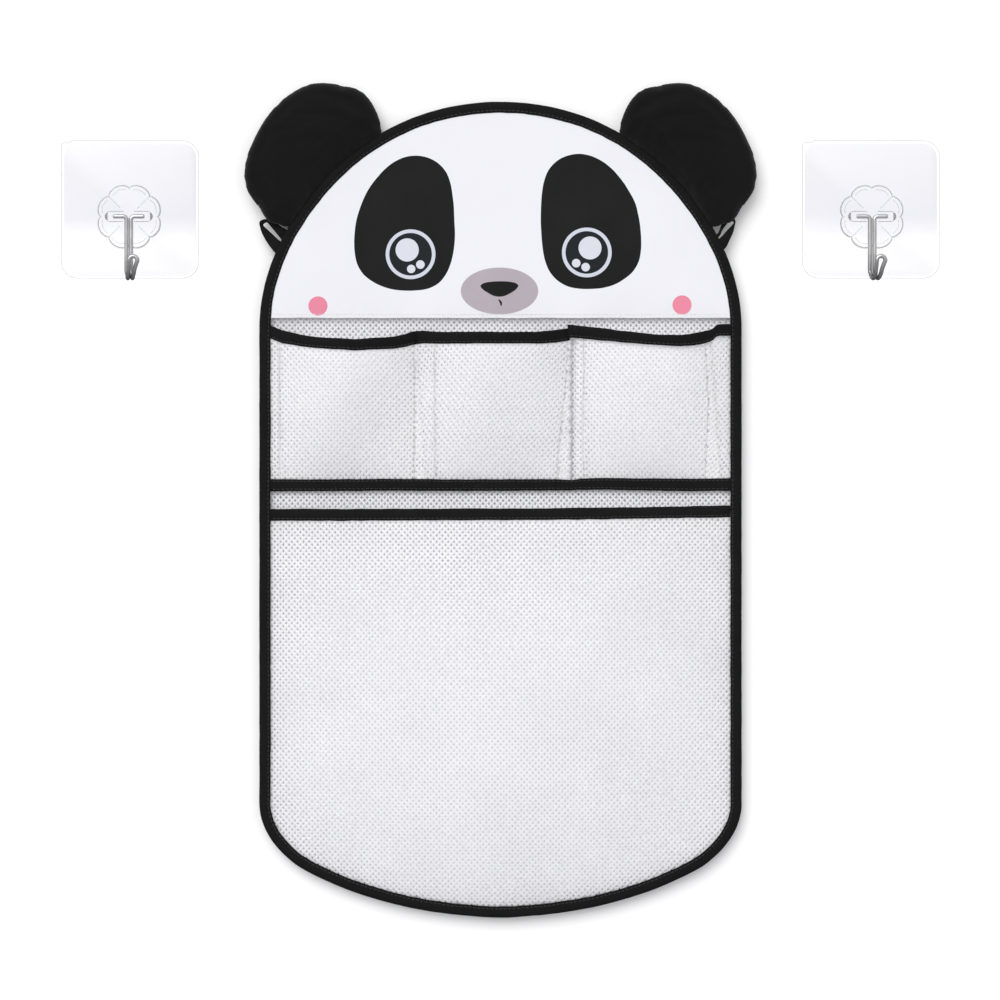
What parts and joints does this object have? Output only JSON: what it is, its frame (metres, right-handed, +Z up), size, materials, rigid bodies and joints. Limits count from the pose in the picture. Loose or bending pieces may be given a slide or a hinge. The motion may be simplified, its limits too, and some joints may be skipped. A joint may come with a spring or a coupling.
{
  "type": "bath toy organizer",
  "caption": "Flat hanging organizer with an animal head: mesh back panel in a bound rim, stuffed ears, small and large mesh pockets, hanging loops and stick-on wall hooks with swinging wires.",
  "frame": {"origin": "on the wall plane, midway between the two hanging loops", "axes": "+Z up, +Y into the wall, so the front faces -Y; +X to the viewer's right"},
  "size_m": [0.6384, 0.0308, 0.6055],
  "materials": {
    "mesh": "white knitted mesh",
    "board": "white foamed board",
    "face_fabric": "printed white polyester weave",
    "binding": "black ribbed polyester tape",
    "ear_fabric": "black matt weave",
    "wadding": "white polyester wadding",
    "adhesive": "clear film",
    "clear_plastic": "clear moulded plastic",
    "wire": "bright drawn steel"
  },
  "bodies": {
    "panel": {"back_mesh_panel": "mesh", "head_stiffener": "board", "face_panel": "face_fabric", "rim_binding": "binding", "left_hanging_loop": "binding", "right_hanging_loop": "binding", "pocket_floor_tape": "binding"},
    "left_ear": {"left_ear_front": "ear_fabric", "left_ear_back": "ear_fabric", "left_ear_wadding": "wadding"},
    "right_ear": {"right_ear_front": "ear_fabric", "right_ear_back": "ear_fabric", "right_ear_wadding": "wadding"},
    "left_pocket": {"left_pocket_mesh": "mesh", "left_pocket_tape": "binding"},
    "middle_pocket": {"middle_pocket_mesh": "mesh", "middle_pocket_tape": "binding"},
    "right_pocket": {"right_pocket_mesh": "mesh", "right_pocket_tape": "binding"},
    "large_pocket": {"large_pocket_mesh": "mesh", "large_pocket_tape": "binding"},
    "left_hook": {"left_hook_adhesive": "adhesive", "left_hook_plate": "clear_plastic", "left_hook_boss": "clear_plastic"},
    "left_wire": {"left_hook_wire": "wire"},
    "right_hook": {"right_hook_adhesive": "adhesive", "right_hook_plate": "clear_plastic", "right_hook_boss": "clear_plastic"},
    "right_wire": {"right_hook_wire": "wire"}
  },
  "joints": [
    {"name": "left_hook_peel", "type": "slide", "parent": "panel", "child": "left_hook", "axis": [0, -1, 0], "range_m": [0, 0.05]},
    {"name": "left_hook_swing", "type": "hinge", "parent": "left_hook", "child": "left_wire", "pos_m": [-0.269, -0.0095, 0.0058], "axis": [-1, 0, 0], "range_deg": [0, 145]},
    {"name": "right_hook_peel", "type": "slide", "parent": "panel", "child": "right_hook", "axis": [0, -1, 0], "range_m": [0, 0.05]},
    {"name": "right_hook_swing", "type": "hinge", "parent": "right_hook", "child": "right_wire", "pos_m": [0.269, -0.0095, 0.0058], "axis": [-1, 0, 0], "range_deg": [0, 145]},
    {"name": "left_ear_flop", "type": "hinge", "parent": "panel", "child": "left_ear", "pos_m": [-0.1231, -0.0066, 0.0402], "axis": [0.7279, 0, 0.6856], "range_deg": [0, 60], "stiffness_Nm_per_rad": 0.12},
    {"name": "right_ear_flop", "type": "hinge", "parent": "panel", "child": "right_ear", "pos_m": [0.1231, -0.0066, 0.0402], "axis": [0.7279, 0, -0.6856], "range_deg": [0, 60], "stiffness_Nm_per_rad": 0.12},
    {"name": "left_pocket_open", "type": "hinge", "parent": "panel", "child": "left_pocket", "pos_m": [-0.1137, -0.0041, -0.1837], "axis": [1, 0, 0], "range_deg": [0, 20], "stiffness_Nm_per_rad": 0.05, "springref_deg": -6.88},
    {"name": "middle_pocket_open", "type": "hinge", "parent": "panel", "child": "middle_pocket", "pos_m": [-0.0043, -0.0041, -0.1837], "axis": [1, 0, 0], "range_deg": [0, 20], "stiffness_Nm_per_rad": 0.05, "springref_deg": -6.88},
    {"name": "right_pocket_open", "type": "hinge", "parent": "panel", "child": "right_pocket", "pos_m": [0.1094, -0.0041, -0.1837], "axis": [1, 0, 0], "range_deg": [0, 20], "stiffness_Nm_per_rad": 0.05, "springref_deg": -6.88},
    {"name": "large_pocket_open", "type": "hinge", "parent": "panel", "child": "large_pocket", "pos_m": [0, -0.0041, -0.4937], "axis": [1, 0, 0], "range_deg": [0, 12], "stiffness_Nm_per_rad": 0.3, "springref_deg": -6.88}
  ]
}
